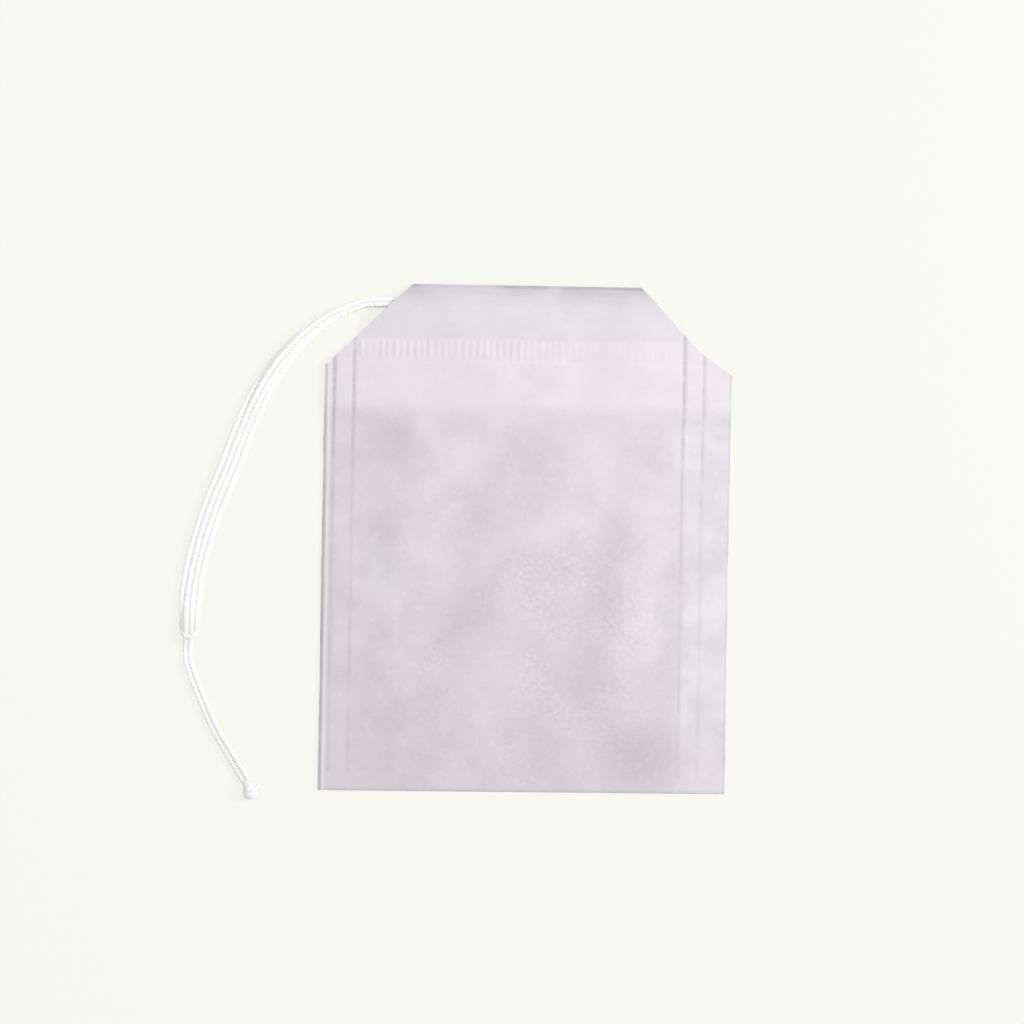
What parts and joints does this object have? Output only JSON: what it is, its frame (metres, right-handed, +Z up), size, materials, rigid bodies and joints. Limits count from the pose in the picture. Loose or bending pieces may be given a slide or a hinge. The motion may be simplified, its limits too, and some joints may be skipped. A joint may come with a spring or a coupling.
{
  "type": "drawstring paper tea filter",
  "caption": "Flat empty paper filter bag with a folded, heat-sealed hem, side weld lines, cut top corners and a doubled cotton drawstring.",
  "frame": {"origin": "on the table under the middle of the bag, the drawstring left out", "axes": "+X across the bag, +Y along the bag towards its mouth, +Z up out of the table"},
  "size_m": [0.0758, 0.0713, 0.0027],
  "materials": {
    "filter_paper": "thin white filter paper, matt, with loose fibres",
    "cotton_thread": "white twisted cotton"
  },
  "bodies": {
    "root": {"filter_bag": "filter_paper", "drawstring_hem_run_1": "cotton_thread", "drawstring_hem_run_2": "cotton_thread", "drawstring_bight": "cotton_thread", "drawstring_tail_1": "cotton_thread", "drawstring_tail_2": "cotton_thread", "drawstring_knot": "cotton_thread"}
  },
  "joints": []
}
